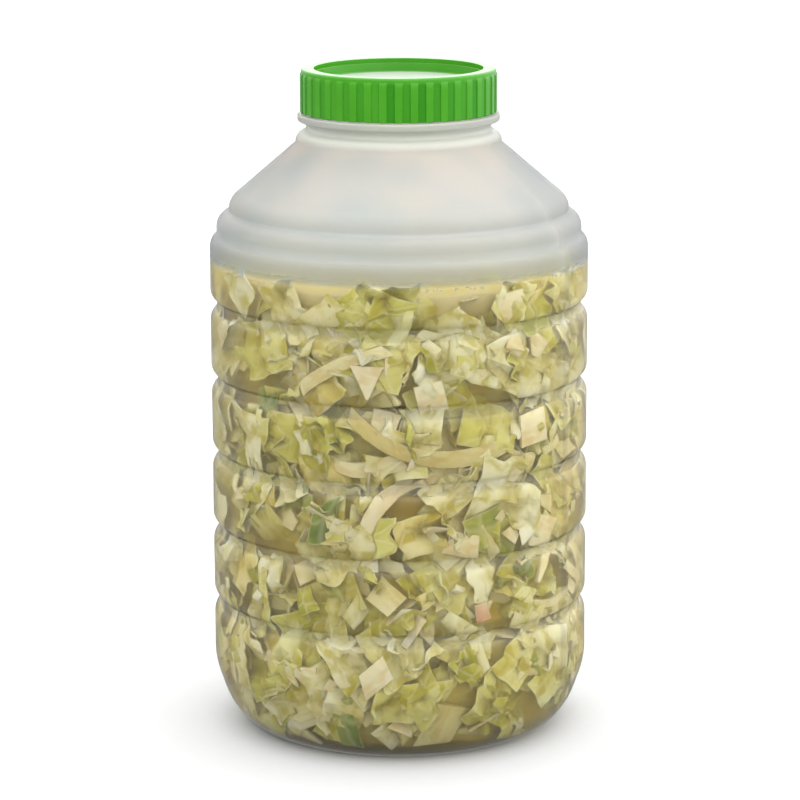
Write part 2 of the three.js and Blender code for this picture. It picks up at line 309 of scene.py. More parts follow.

# Green polypropylene: bright, even and glossy, so that it catches a soft light line on each rib and on the
# rim. In the gaps between the ribs it is painted deeper green, in some more than in others: painted shade.
polypropylene_green, tree, output = new_material("polypropylene_green")
coords = add_node(tree, "ShaderNodeTexCoord")
tone = add_node(
    tree, "ShaderNodeTexNoise", {"Scale": 1 / (14 * MM), "Detail": 4.0}, {"Vector": coords.outputs["Object"]})
rib_tint = add_node(
    tree, "ShaderNodeMix", {"A": linear("#3A940A"), "B": linear("#4AA41C")},
    {"Factor": tone.outputs["Fac"]}, data_type="RGBA")
# Painted shade: the gaps between the ribs are mixed towards a deeper green by a share stored on each vertex.
gap_shade = add_node(tree, "ShaderNodeAttribute", attribute_name="gap_shade")
tint = add_node(
    tree, "ShaderNodeMix", {"B": linear("#2C8A00")},
    {"Factor": gap_shade.outputs["Fac"], "A": rib_tint.outputs["Result"]}, data_type="RGBA")
grain = add_node(
    tree, "ShaderNodeTexNoise", {"Scale": 1 / (0.9 * MM), "Detail": 2.0},
    {"Vector": coords.outputs["Object"]})
gloss = add_node(tree, "ShaderNodeMapRange", {"To Min": 0.16, "To Max": 0.24}, {"Value": tone.outputs["Fac"]})
grain_bump = add_node(
    tree, "ShaderNodeBump", {"Strength": 0.08, "Distance": 0.05 * MM}, {"Height": grain.outputs["Fac"]})
lid_shader = add_node(
    tree, "ShaderNodeBsdfPrincipled", {"IOR": 1.49, "Specular IOR Level": 0.5},
    {
        "Base Color": tint.outputs["Result"],
        "Roughness": gloss.outputs["Result"],
        "Normal": grain_bump.outputs["Normal"],
    },
)
tree.links.new(lid_shader.outputs["BSDF"], output.inputs["Surface"])

disc_top = lid_top - disc_drop
channel_top = lid_top - rim_thickness
lid_outline = [
    (0, disc_top - disc_thickness), (plug_radius, disc_top - disc_thickness), (plug_radius, channel_top),
    (skirt_inner_radius, channel_top), (skirt_inner_radius, lid_bottom),
    (skirt_radius - skirt_edge, lid_bottom), (skirt_radius, lid_bottom + skirt_edge),
]
skirt_levels = [lid_bottom + skirt_first + skirt_spacing * i for i in range(skirt_rows)]
rib_levels = [rib_top - rib_fade * share for share in (1, 0.5, 0)]
lid_outline += [(skirt_radius, level) for level in skirt_levels + rib_levels]
lid_outline.append((skirt_radius, lid_top - rim_round))
lid_outline += bend(lid_outline[-1], (skirt_radius, lid_top), (skirt_radius - rim_round, lid_top))
lid_outline.append((rim_inner_radius + ledge_round, lid_top))
lid_outline += bend(
    lid_outline[-1], (rim_inner_radius, lid_top), (rim_inner_radius, lid_top - ledge_round), steps=3)
lid_outline.append((rim_inner_radius, lid_top - ledge_drop))
lid_outline.append((ledge_radius + ledge_round, lid_top - ledge_drop))
lid_outline += bend(
    lid_outline[-1], (ledge_radius, lid_top - ledge_drop),
    (ledge_radius, lid_top - ledge_drop - ledge_round), steps=3)
lid_outline.append((disc_radius, disc_top + disc_fillet))
lid_outline += bend(lid_outline[-1], (disc_radius, disc_top), (disc_radius - disc_fillet, disc_top), steps=4)
lid_outline.append((0, disc_top))

lid_bm = spun(lid_outline, rib_count * steps_per_rib)
gap_shade_layer = lid_bm.verts.layers.float.new("gap_shade")
rib_pitch = 2 * math.pi / rib_count
for vert in lid_bm.verts:
    reach = math.hypot(vert.co.x, vert.co.y)
    if reach < (skirt_radius - skirt_skin) * MM:
        continue
    angle = math.atan2(vert.co.y, vert.co.x)
    gap_number = angle // rib_pitch
    off_rib = (angle + rib_pitch / 2) % rib_pitch - rib_pitch / 2
    step = round(abs(off_rib) / rib_pitch * steps_per_rib)
    edge_side = rib_width / 2 - rib_edge if step <= steps_on_rib else rib_width / 2
    gap_steps = max(step - steps_on_rib - 1, 0) / (steps_per_rib / 2 - steps_on_rib - 1)
    gap_half = rib_pitch * skirt_radius / 2 - edge_side
    new_side = edge_side * min(step / steps_on_rib, 1) + gap_half * gap_steps
    angle += math.copysign(new_side / skirt_radius, off_rib) - off_rib
    fade = min(max((rib_top - vert.co.z / MM) / rib_fade, 0), 1)
    reach += rib_proud * MM * fade if step <= steps_on_rib else 0
    # Painted shade for each gap between the ribs, deeper in some gaps than in others, none on the ribs.
    drift = noise.noise((gap_number * gap_stride, 0, 0))
    uneven = min(max(gap_mean + gap_swing * drift, gap_least), 1)
    vert[gap_shade_layer] = 0 if step <= steps_on_rib else fade * uneven
    vert.co.x, vert.co.y = reach * math.cos(angle), reach * math.sin(angle)
lid = finished("screw_lid", lid_bm, polypropylene_green, "lid_plastic", "lid")
lid.data.set_sharp_from_angle(angle=lid_crease)

# Lid film: a round of pale satin film that lies in the sunk disc, a painted reflection that stands in for the
# pale glare on the disc. It is a little smaller than the disc, so that a narrow green ring shows round it.
film_radius, film_sunk, film_proud, film_round = 34.6, 0.1, 0.25, 0.15
film_steps = 96

# Satin film: off-white and evenly matt, a painted glare, with a faint cloudiness that varies at random.
painted_glare_film, tree, output = new_material("painted_glare_film")
coords = add_node(tree, "ShaderNodeTexCoord")
film_cloud = add_node(
    tree, "ShaderNodeTexNoise", {"Scale": 1 / (10 * MM), "Detail": 4.0}, {"Vector": coords.outputs["Object"]})
film_tone = add_node(
    tree, "ShaderNodeMix", {"A": linear("#AEB7AA"), "B": linear("#BBC4B6")},
    {"Factor": film_cloud.outputs["Fac"]}, data_type="RGBA")
film_gloss = add_node(
    tree, "ShaderNodeMapRange", {"To Min": 0.32, "To Max": 0.46}, {"Value": film_cloud.outputs["Fac"]})
film_shader = add_node(
    tree, "ShaderNodeBsdfPrincipled", {"IOR": 1.46},
    {"Base Color": film_tone.outputs["Result"], "Roughness": film_gloss.outputs["Result"]})
tree.links.new(film_shader.outputs["BSDF"], output.inputs["Surface"])

film_bottom, film_top = disc_top - film_sunk, disc_top + film_proud
film_line = [(0, film_bottom), (film_radius, film_bottom), (film_radius, film_top - film_round)]
film_line += bend(film_line[-1], (film_radius, film_top), (film_radius - film_round, film_top), steps=3)
film_line.append((0, film_top))
finished("lid_glare_film", spun(film_line, film_steps), painted_glare_film, "lid_plastic")

# Cabbage: a head chopped into squares and strips and packed into the jar. The core stands for the packed
# middle, which shows only as a blurred cream and tan ground behind the cuts that lie against the wall.
core_inset, core_top_inset, core_flare, core_crown, core_edge = 9.0, 5.5, 188.0, 208.8, 206.0
core_lift, core_steps, core_top_share = 1.5, 96, 0.95
core_lumps = [(14, 2.2), (6, 0.8)]
inner_radii, inner_heights = (np.array(axis) for axis in zip(*inner_line))
floor_height = push_up + wall

core_floor = floor_height + core_lift
core_line = [(0, core_floor)]
core_line += [
    (r - np.interp(z, (core_flare, core_edge), (core_inset, core_top_inset)), max(z, core_floor))
    for r, z in inner_line if z < core_edge]
core_line.append((inner_radii.max() - core_top_inset, core_edge))
core_line += bend(core_line[-1], (core_line[-1][0], core_crown), (0, core_crown), steps=8)
core_bm = spun(core_line, core_steps)
for vert in core_bm.verts:
    vert.co += vert.normal * MM * sum(noise.noise(vert.co / (size * MM)) * rise for size, rise in core_lumps)

# Packed cabbage in cloudy brine: soft cream, tan and golden patches about as large as the cuts. Towards the
# top it is painted greyer: painted light, for the light that falls in from above.
cabbage_packed, tree, output = new_material("cabbage_packed")
coords = add_node(tree, "ShaderNodeTexCoord")
patch = add_node(
    tree, "ShaderNodeTexNoise", {"Scale": 1 / (16 * MM), "Detail": 3.0, "Roughness": 0.6},
    {"Vector": coords.outputs["Object"]})
patch_tone = add_node(tree, "ShaderNodeValToRGB", links={"Fac": patch.outputs["Fac"]})
stops = [(0.3, "#C8A43C"), (0.42, "#DCBF66"), (0.54, "#EAD694"), (0.66, "#F3E8C2")]
while len(patch_tone.color_ramp.elements) < len(stops):
    patch_tone.color_ramp.elements.new(0.5)
for element, (position, colour) in zip(patch_tone.color_ramp.elements, stops):
    element.position, element.color = position, linear(colour)
depth = add_node(tree, "ShaderNodeSeparateXYZ", links={"Vector": coords.outputs["Object"]})
# Painted light: the core is mixed towards grey near its top.
painted_top_light = add_node(
    tree, "ShaderNodeMapRange",
    {"From Min": core_flare * MM, "From Max": core_edge * MM, "To Max": core_top_share},
    {"Value": depth.outputs["Z"]}, interpolation_type="SMOOTHSTEP")
core_tone = add_node(
    tree, "ShaderNodeMix", {"B": linear("#CCC4C6")},
    {"Factor": painted_top_light.outputs["Result"], "A": patch_tone.outputs["Color"]}, data_type="RGBA")
core_shader = add_node(
    tree, "ShaderNodeBsdfPrincipled", {"Roughness": 0.6, "IOR": 1.38, "Specular IOR Level": 0.2},
    {"Base Color": core_tone.outputs["Result"]})
tree.links.new(core_shader.outputs["BSDF"], output.inputs["Surface"])
finished("cabbage_core", core_bm, cabbage_packed, "cabbage", "cabbage")

# Leaf cuts: thin, wavy pieces of leaf, yellow-green fading to cream. They lie in layers along the wall and
# over the top of the core. Each is a slab bent to fit the jar's inside, and all are joined in one mesh.
rng = np.random.default_rng(23)
edge_thinning, cut_rim, edge_paleness, edge_tone = 0.45, 0.045, 0.5, "#F6F2DE"
at_edge, cut_crease, size_bias = 0.499, math.radians(42), 1.5
wave_lengths, crease_lengths, ruffle_length, cross_cup = (8, 17), (6, 15), 7, 0.4
long_nick, long_nick_turns, short_nick, short_nick_turns, end_nick_turns = 0.02, 9, 0.012, 23, 11
fade_middle, fade_slope, fade_slant, fade_waver, fade_turns = 0.5, 0.9, 0.6, 0.2, 6


def inner_radius(height):
    """The jar's inside radius in mm at each height."""
    return np.interp(height, inner_heights, inner_radii)


def unit(vectors):
    """Vectors along the last axis, scaled to a length of one."""
    return vectors / np.linalg.norm(vectors, axis=-1, keepdims=True)


def along_wall(depth, spacing, low, high, tilt, keep=1.0):
    """Middles and outward directions of pieces spread unevenly over a layer at a depth inside the wall."""
    rows = int((high - low) / spacing)
    turns = int(2 * np.pi * (body_radius - depth) / spacing)
    row, turn = (grid.ravel() for grid in np.meshgrid(np.arange(rows), np.arange(turns), indexing="ij"))
    kept = rng.uniform(0, 1, row.size) < keep
    row, turn = row[kept], turn[kept]
    height = low + (row + rng.uniform(0, 1, row.size)) * spacing
    angle = (turn + 0.5 * (row % 2) + rng.uniform(-0.45, 0.45, row.size)) * 2 * np.pi / turns
    radius = inner_radius(height) - depth
    where = np.stack([radius * np.cos(angle), radius * np.sin(angle), height], axis=1)
    facing = np.stack([np.cos(angle), np.sin(angle), np.zeros_like(angle)], axis=1)
    return where, unit(facing + rng.normal(0, tilt, facing.shape))


def at_wall(spots):
    """The same for chosen spots: degrees to the right of the front, height, and depth inside the wall."""
    azimuth, height, depth = np.array(spots, dtype=float).T
    angle = np.radians(azimuth - 90)
    radius = inner_radius(height) - depth
    where = np.stack([radius * np.cos(angle), radius * np.sin(angle), height], axis=1)
    return where, np.stack([np.cos(angle), np.sin(angle), np.zeros_like(angle)], axis=1)


def over_top(count, low, high, tilt):
    """Middles and upward directions of pieces that lie on the core, just under the brine's surface."""
    angle = rng.uniform(0, 2 * np.pi, count)
    radius = (inner_radius(brine_level) - 6) * np.sqrt(rng.uniform(0, 1, count))
    where = np.stack([radius * np.cos(angle), radius * np.sin(angle), rng.uniform(low, high, count)], axis=1)
    return where, unit(np.array([0.0, 0.0, 1.0]) + rng.normal(0, tilt, where.shape))


def cut(place, length, width, thickness, tones, **shape):
    """Draws one group of cuts: sizes in mm between two limits, and a pair of colours from a list for each.

    The shape can give limits for wave, ruffle, crumple, cup and bow, which bend a cut, for taper and skew,
    which change its outline, for spin, for slack, the distance kept to the wall, and for top, the highest
    that it may reach.
    """
    where, facing = place
    count = len(where)
    limits = {
        "wave": (0, 0), "ruffle": (0, 0), "crumple": (0, 0), "cup": (0, 0), "bow": (0, 0), "taper": (0, 0.5),
        "skew": (-0.25, 0.25), "spin": (0, 2 * np.pi), "slack": (0.2, 3.0),
        "top": (brine_level - 5, brine_level - 0.8), "thickness": thickness, **shape}
    cuts = {name: rng.uniform(low, high, count) for name, (low, high) in limits.items()}
    for name, (low, high) in (("length", length), ("width", width)):
        cuts[name] = low + (high - low) * rng.uniform(0, 1, count) ** size_bias
    drawn = rng.integers(0, len(tones), count)
    pairs = np.array([[linear(tone)[:3] for tone in pair] for pair in tones])
    cuts.update(where=where, facing=facing, root=pairs[drawn, 0], tip=pairs[drawn, 1])
    return cuts


def slab(columns, rows):
    """A flat closed slab of unit size: each corner's (u, v) and face, -1 or 1, and its four-cornered faces.

    The outermost row of cells all round is narrow, so that the edge can be rounded and paler than the faces.
    """
    bm = bmesh.new()
    bmesh.ops.create_grid(bm, x_segments=columns, y_segments=rows, size=0.5)
    raised = bmesh.ops.extrude_face_region(bm, geom=bm.faces[:])["geom"]
    raised_verts = [part for part in raised if isinstance(part, bmesh.types.BMVert)]
    bmesh.ops.translate(bm, verts=raised_verts, vec=(0, 0, 1))
    bmesh.ops.recalc_face_normals(bm, faces=bm.faces)
    bm.verts.index_update()
    points = np.array([vert.co for vert in bm.verts])
    faces = np.array([[vert.index for vert in face.verts] for face in bm.faces])
    bm.free()
    u, v = (
        np.where(np.abs(line) < at_edge, line * (0.5 - cut_rim) / (0.5 - 1 / cells), line)
        for line, cells in ((points[:, 0], columns), (points[:, 1], rows)))
    return u, v, points[:, 2] * 2 - 1, faces


def cut_mesh(name, template, groups, material):
    """Joins groups of cuts in one mesh: a slab for each, bent, fitted inside the jar and coloured."""
    u, v, side, faces = template
    cuts = {key: np.concatenate([group[key] for group in groups]) for key in groups[0]}
    count = len(cuts["where"])
    column = {key: values[:, None] for key, values in cuts.items()}
    phase = rng.uniform(0, 2 * np.pi, (6, count, 1))
    wave_x, wave_y = rng.uniform(*wave_lengths, (2, count, 1))
    crease_turns = rng.uniform(0, 2 * np.pi, (3, count, 1))
    crease_widths = rng.uniform(*crease_lengths, (3, count, 1))
    level = unit(np.cross((0, 0, 1.0), cuts["facing"]) + (1e-4, 0, 0))
    upright = np.cross(cuts["facing"], level)
    across = np.cos(column["spin"]) * level + np.sin(column["spin"]) * upright
    along = np.cos(column["spin"]) * upright - np.sin(column["spin"]) * level

    def surface(u, v):
        """The middle surface of every cut at (u, v), pressed in where it would meet the wall or the floor."""
        nick = long_nick * np.sin(long_nick_turns * v + phase[4])
        nick = nick + short_nick * np.sin(short_nick_turns * v + phase[5])
        x = (u * (1 - column["taper"] * (v + 0.5)) + column["skew"] * v + nick) * column["length"]
        end_nick = long_nick * np.sin(end_nick_turns * u + phase[5])
        y = (v + end_nick) * column["width"] + column["bow"] * 4 * u ** 2
        rise = column["cup"] * (x ** 2 + cross_cup * y ** 2)
        for turn, crease in zip(crease_turns, crease_widths):
            across_crease = (x * np.cos(turn) + y * np.sin(turn)) / crease + turn
            rise = rise + column["crumple"] * (0.5 - np.abs(np.sin(np.pi * across_crease)))
        rise = rise + column["wave"] * np.sin(2 * np.pi * x / wave_x + phase[0])
        rise = rise + column["wave"] * np.sin(2 * np.pi * y / wave_y + phase[1])
        ripples = np.sin(2 * np.pi * x / ruffle_length + phase[2] + 2 * v)
        rise = rise + column["ruffle"] * np.clip(v + 0.5, 0, 1) ** 2 * ripples
        point = sum(
            axis[:, None] * reach[..., None]
            for axis, reach in ((across, x), (along, y), (cuts["facing"], rise)))
        point = point + cuts["where"][:, None]
        reach = np.hypot(point[..., 0], point[..., 1])
        room = inner_radius(point[..., 2]) - column["slack"] - column["thickness"] / 2
        point[..., :2] *= np.minimum(1, room / np.maximum(reach, 1))[..., None]
        point[..., 2] = np.maximum(point[..., 2], floor_height + column["slack"] + column["thickness"] / 2)
        return point

    too_high = surface(u, v)[..., 2].max(axis=1) - cuts["top"]
    cuts["where"][:, 2] -= np.maximum(too_high, 0)
    middle = surface(u, v)
    step = 1e-3
    outward = unit(np.cross(surface(u + step, v) - middle, surface(u, v + step) - middle))
    edge = 1 - edge_thinning * (2 * np.maximum(np.abs(u), np.abs(v))) ** 10
    points = middle + outward * (side * edge * column["thickness"] / 2)[..., None]
    run = fade_middle + fade_slope * (fade_slant * u + v) + fade_waver * np.sin(fade_turns * u + phase[3])
    run = np.clip(run, 0, 1)[..., None]
    colours = column["root"] * (1 - run) + column["tip"] * run
    rim = (np.maximum(np.abs(u), np.abs(v)) > at_edge)[:, None] * edge_paleness
    colours = colours * (1 - rim) + np.array(linear(edge_tone)[:3]) * rim

    mesh = bpy.data.meshes.new(name)
    joined = (faces + (np.arange(count) * len(u))[:, None, None]).reshape(-1, 4)
    mesh.from_pydata((points.reshape(-1, 3) * MM).tolist(), [], joined.tolist())
    flat = np.stack([u * column["length"], v * column["width"]], axis=2).reshape(-1, 2) * MM
    mesh.uv_layers.new(name="cut").data.foreach_set("uv", flat[joined.ravel()].ravel())
    flesh = mesh.attributes.new("flesh", "FLOAT_COLOR", "POINT")
    flesh.data.foreach_set("color", np.insert(colours.reshape(-1, 3), 3, 1.0, axis=1).ravel())
    placed(name, mesh, material, "cabbage", "cabbage")
    mesh.set_sharp_from_angle(angle=cut_crease)


def cabbage_flesh(name, vein_size, vein_share, crinkle_size, crinkle_shade_share, crinkle_shade_tone, glow_share):
    """Wet cabbage: each cut's colour, paler veins, painted shade in its crinkles, and a glow through it."""
    material, tree, output = new_material(name)
    flesh = add_node(tree, "ShaderNodeAttribute", attribute_name="flesh")
    uv = add_node(tree, "ShaderNodeUVMap", uv_map="cut")
    warp = add_node(
        tree, "ShaderNodeTexNoise", {"Scale": 1 / (8 * MM), "Detail": 2.0}, {"Vector": uv.outputs["UV"]})
    wander = add_node(
        tree, "ShaderNodeVectorMath", {"Scale": 5 * MM}, {0: warp.outputs["Color"]}, operation="SCALE")
    warped = add_node(
        tree, "ShaderNodeVectorMath", links={0: uv.outputs["UV"], 1: wander.outputs["Vector"]},
        operation="ADD")
    net = add_node(
        tree, "ShaderNodeTexVoronoi", {"Scale": 1 / (vein_size * MM)}, {"Vector": warped.outputs["Vector"]},
        feature="DISTANCE_TO_EDGE", voronoi_dimensions="2D")
    vein = add_node(
        tree, "ShaderNodeMapRange", {"From Max": 0.1, "To Min": vein_share, "To Max": 0.0},
        {"Value": net.outputs["Distance"]}, interpolation_type="SMOOTHSTEP")
    along = add_node(
        tree, "ShaderNodeMapping", {"Scale": (0.45, 1, 1)}, {"Vector": warped.outputs["Vector"]})
    crinkle = add_node(
        tree, "ShaderNodeTexNoise", {"Scale": 1 / (crinkle_size * MM), "Detail": 2.5, "Distortion": 0.4},
        {"Vector": along.outputs["Vector"]})
    # Painted shade: the hollows of the crinkles are multiplied towards a darker, deeper tone.
    crinkle_shade_mask = add_node(
        tree, "ShaderNodeMapRange",
        {"From Min": 0.36, "From Max": 0.6, "To Min": crinkle_shade_share, "To Max": 0.0},
        {"Value": crinkle.outputs["Fac"]}, interpolation_type="SMOOTHSTEP")
    crinkle_shaded = add_node(
        tree, "ShaderNodeMix", {"B": linear(crinkle_shade_tone)},
        {"Factor": crinkle_shade_mask.outputs["Result"], "A": flesh.outputs["Color"]}, data_type="RGBA",
        blend_type="MULTIPLY")
    veined = add_node(
        tree, "ShaderNodeMix", {"B": linear("#F6F3E0")},
        {"Factor": vein.outputs["Result"], "A": crinkle_shaded.outputs["Result"]}, data_type="RGBA")
    crinkle_bump = add_node(
        tree, "ShaderNodeBump", {"Strength": 0.8, "Distance": 1.2 * MM}, {"Height": crinkle.outputs["Fac"]})
    shader = add_node(
        tree, "ShaderNodeBsdfPrincipled", {"IOR": 1.38, "Roughness": 0.38, "Specular IOR Level": 0.25},
        {"Base Color": veined.outputs["Result"], "Normal": crinkle_bump.outputs["Normal"]})
    glow = add_node(tree, "ShaderNodeBsdfTranslucent", links={"Color": veined.outputs["Result"]})
    mixed = add_node(
        tree, "ShaderNodeMixShader", {"Fac": glow_share},
        {1: shader.outputs["BSDF"], 2: glow.outputs["BSDF"]})
    tree.links.new(mixed.outputs["Shader"], output.inputs["Surface"])
    return material


leaf_tones = [
    ("#D4CE5A", "#F1EFC4"), ("#C8C54C", "#E8E49C"), ("#E4DC8C", "#F9F5D8"), ("#DAD570", "#F0ECB2"),
    ("#EFE8BE", "#FBF9EE"), ("#B8BA3E", "#DCD87C"), ("#ECD87A", "#F8EDC4"), ("#F6EFD2", "#FDFAF2"),
    ("#EFE5B4", "#FBF6E4"), ("#F1EBC6", "#FCFAF0"), ("#F8F3DE", "#FDFBF4"),
]
leaf_thickness = (0.8, 1.6)
leaf_flesh = cabbage_flesh(
    "cabbage_leaf", vein_size=12.0, vein_share=0.35, crinkle_size=8.0, crinkle_shade_share=0.8, crinkle_shade_tone="#CCC048",
    glow_share=0.15)
flat_bends = {"wave": (0.1, 0.7), "crumple": (0.2, 0.9), "cup": (-0.04, 0.01), "taper": (0, 0.8)}
cut_mesh(
    "cabbage_leaf_cuts", slab(4, 4),
    [
        cut(
            along_wall(depth=2, spacing=15, low=5, high=208, tilt=0.4, keep=0.18),
            (8, 22), (7, 18), leaf_thickness, leaf_tones, slack=(0.1, 1.6), **flat_bends),
        cut(
            along_wall(depth=5.5, spacing=15, low=8, high=206, tilt=0.6, keep=0.55),
            (11, 30), (10, 26), leaf_thickness, leaf_tones, **flat_bends),
        cut(
            over_top(count=30, low=206, high=210, tilt=0.12),
            (12, 28), (10, 24), leaf_thickness, leaf_tones, **flat_bends),
    ],
    leaf_flesh)

# Crumpled leaves: larger pieces of leaf blade, folded and ruffled, among the flat cuts. Some lie along the
# wall and some stand edge-on to it. A few reach just above the brine, three of them in a heap at the front,
# and one sticks to the wall at the left.
blade_thickness, stiff_blade_thickness = (0.7, 1.1), (0.8, 1.0)
leaf_bends = {"wave": (0.3, 1.2), "ruffle": (0.3, 2.6), "crumple": (1.0, 3.0), "cup": (-0.012, 0.004)}
heap_places = [(-8, 201, 2), (-3, 206, 2.5), (-14, 199, 2.5)]
surface_places = [(36, 209, 2), (62, 208, 2.5), (-36, 207, 2.5), (118, 210, 2), (165, 208, 3), (-110, 209, 2)]
cut_mesh(
    "cabbage_crumpled_leaves", slab(10, 8),
    [
        cut(
            along_wall(depth=3.0, spacing=22, low=8, high=206, tilt=0.3, keep=0.85),
            (20, 44), (17, 36), blade_thickness, leaf_tones, slack=(0.1, 1.6), **leaf_bends),
        cut(
            along_wall(depth=5, spacing=20, low=8, high=204, tilt=1.4, keep=0.75),
            (14, 32), (12, 26), blade_thickness, leaf_tones, slack=(0.1, 1.6), **leaf_bends),
        cut(
            at_wall(heap_places), (24, 32), (18, 26), stiff_blade_thickness, leaf_tones[:2],
            wave=(1.0, 1.8), ruffle=(2, 3), crumple=(1.5, 2.2), top=(212.5, 214.5), slack=(0.1, 0.6)),
        # Painted light: the leaf at the left takes the palest tone, lifting it where it lies above the brine
        # in poor light.
        cut(
            at_wall([(-57, 210, 2)]), (22, 22), (16, 16), (0.9, 0.9), leaf_tones[-1:],
            wave=(0.6, 0.8), top=(216, 217), slack=(0.1, 0.2)),
        # Painted light: the leaves at the surface leave out the two greenest tones, for the brighter light
        # from above.
        cut(
            at_wall(surface_places), (20, 30), (15, 22), stiff_blade_thickness, leaf_tones[2:],
            wave=(0.6, 1.4), ruffle=(1, 2), crumple=(0.8, 1.6), top=(212.5, 215), slack=(0.1, 0.6)),
    ],
    leaf_flesh)

# Green leaf cuts: a few pieces of the darker outer leaves among the pale ones, cut in strips and squares
# like them. Those at the front lie where they show, and the others are spread thinly round the jar.
green_flesh = cabbage_flesh(
    "cabbage_outer_leaf", vein_size=22.0, vein_share=0.25, crinkle_size=8.0, crinkle_shade_share=0.5,
    crinkle_shade_tone="#9CAE50", glow_share=0.15)
green_thickness = (0.7, 1.0)
green_tones = [("#7C9440", "#A9B35C"), ("#5C7A34", "#8A9C4A"), ("#A3B055", "#CCCB7C")]
strip_places, square_places = [(-24, 108, 2), (-46, 154, 3), (-18, 18, 2)], [(27, 104, 2), (33, 100, 4)]
cut_mesh(
    "cabbage_green_cuts", slab(8, 6),
    [
        cut(
            at_wall(strip_places), (22, 28), (8, 12), green_thickness, green_tones[:2],
            spin=(1.35, 1.85), wave=(0.3, 0.8), taper=(0.1, 0.4), slack=(0.3, 0.8)),
        cut(at_wall(square_places), (18, 28), (14, 20), green_thickness, green_tones[2:], **leaf_bends),
        cut(
            along_wall(depth=5, spacing=52, low=12, high=200, tilt=0.3, keep=0.8),
            (14, 30), (8, 20), green_thickness, green_tones, **leaf_bends),
    ],
    green_flesh)

# Rib cuts: thick, crisp squares, wedges and slivers of the leaf bases, cream to white. A wedge, three
# squares and a reddish bit lie at the front against the wall, and the others are spread in two layers and
# over the top.
rib_tones = [
    ("#F9EDDC", "#FCF6EC"), ("#F5E8CE", "#FAF3E4"), ("#FCF7EE", "#F9F0E0"), ("#EFE6C0", "#F7F0DA"),
]
rib_bends = {"taper": (0, 0.95), "cup": (-0.03, 0.006), "wave": (0, 0.5), "crumple": (0, 0.5)}
rib_flesh = cabbage_flesh(
    "cabbage_rib", vein_size=20.0, vein_share=0.1, crinkle_size=5.0, crinkle_shade_share=0.5, crinkle_shade_tone="#E6CC92",
    glow_share=0.1)
cut_mesh(
    "cabbage_rib_cuts", slab(3, 3),
    [
        cut(
            along_wall(depth=2, spacing=14, low=5, high=204, tilt=0.5, keep=0.24),
            (5, 22), (5, 17), (1.4, 3.8), rib_tones, slack=(0.1, 0.8), **rib_bends),
        cut(
            along_wall(depth=6.5, spacing=15, low=8, high=204, tilt=0.5, keep=0.55),
            (8, 26), (7, 19), (1.6, 4.2), rib_tones, **rib_bends),
        cut(
            over_top(count=30, low=205, high=209, tilt=0.2),
            (8, 22), (7, 16), (1.8, 3.6), rib_tones, **rib_bends),
        cut(
            at_wall([(-9.7, 170.5, 2)]), (15, 15), (15, 15), (2.5, 2.5), rib_tones[:1],
            taper=(0.97, 0.97), spin=(math.pi, math.pi), skew=(0, 0), slack=(0.2, 0.2)),
        cut(
            at_wall([(9.7, 164, 2), (45, 146, 2), (36, 203, 2)]), (13, 18), (13, 16), (2.5, 3), rib_tones,
            taper=(0, 0.1), spin=(-0.25, 0.25), skew=(-0.1, 0.1), slack=(0.2, 0.4)),
        cut(
            at_wall([(25.6, 68, 1.2)]), (7, 7), (8, 8), (1.5, 1.5), [("#D79A86", "#E8CDB8")],
            taper=(0.2, 0.2), spin=(0.3, 0.3), slack=(0.2, 0.2)),
    ],
    rib_flesh)

# Rib strips: long curved slices of the thick leaf ribs, which spring into bows when they are cut. A long
# one and a short one lie at the front, and the others are spread thinly round the jar.
cut_mesh(
    "cabbage_rib_strips", slab(14, 3),
    [
        cut(
            at_wall([(8, 138, 2.5)]), (76, 76), (7, 7), (2, 2), [("#D6C68C", "#E4D8AC")], taper=(0.05, 0.05),
            skew=(0, 0), bow=(11, 11), spin=(-0.2, -0.2), slack=(1.0, 1.0)),
        cut(
            at_wall([(-18, 178, 3)]), (46, 46), (6, 6), (3, 3), rib_tones[3:], taper=(0.1, 0.1), skew=(0, 0),
            bow=(-3, -3), spin=(0.44, 0.44), slack=(0.8, 0.8)),
        cut(
            along_wall(depth=4, spacing=60, low=20, high=190, tilt=0.15, keep=0.7),
            (35, 65), (5, 8), (2.5, 3.5), rib_tones,
            bow=(-14, 14), taper=(0, 0.2), skew=(-0.03, 0.03), spin=(-0.7, 0.7), slack=(0.5, 3)),
    ],
    rib_flesh)

# Brine: salt water that the cabbage has turned cloudy and yellow. It fills the jar round the cuts up to its
# level surface, and it reaches a little into the wall, so that no gap shows between them.
brine_reach = 0.5
brine_line = [(0, floor_height - brine_reach), (floor_line[0][0], floor_height - brine_reach)]
brine_line += [(r, z) for r, z in wall_outline(wall - brine_reach) if z < brine_level]
brine_line += [(brine_line[-1][0], brine_level), (0, brine_level)]

# Cloudy brine: it takes the blue out of the light and scatters a soft yellow back, so that cuts that lie
# deeper look yellower and hazier than those at the wall.
brine, tree, output = new_material("brine")
brine_shader = add_node(
    tree, "ShaderNodeBsdfPrincipled",
    {"Base Color": linear("#FFFFFF"), "IOR": 1.1, "Roughness": 0.0, "Transmission Weight": 1.0})
brine_tint = add_node(tree, "ShaderNodeVolumeAbsorption", {"Color": linear("#F9E837"), "Density": 52.0})
brine_cloud = add_node(
    tree, "ShaderNodeVolumeScatter", {"Color": linear("#FFE894"), "Density": 44.0, "Anisotropy": 0.3})
brine_depth = add_node(
    tree, "ShaderNodeAddShader", links={0: brine_tint.outputs["Volume"], 1: brine_cloud.outputs["Volume"]})
brine_shade = add_node(tree, "ShaderNodeBsdfTransparent", {"Color": linear("#FFFFFA")})
let_through(tree, brine_shader, brine_shade, output)
tree.links.new(brine_depth.outputs["Shader"], output.inputs["Volume"])
finished("brine", spun(brine_line, jar_steps), brine, "cabbage")

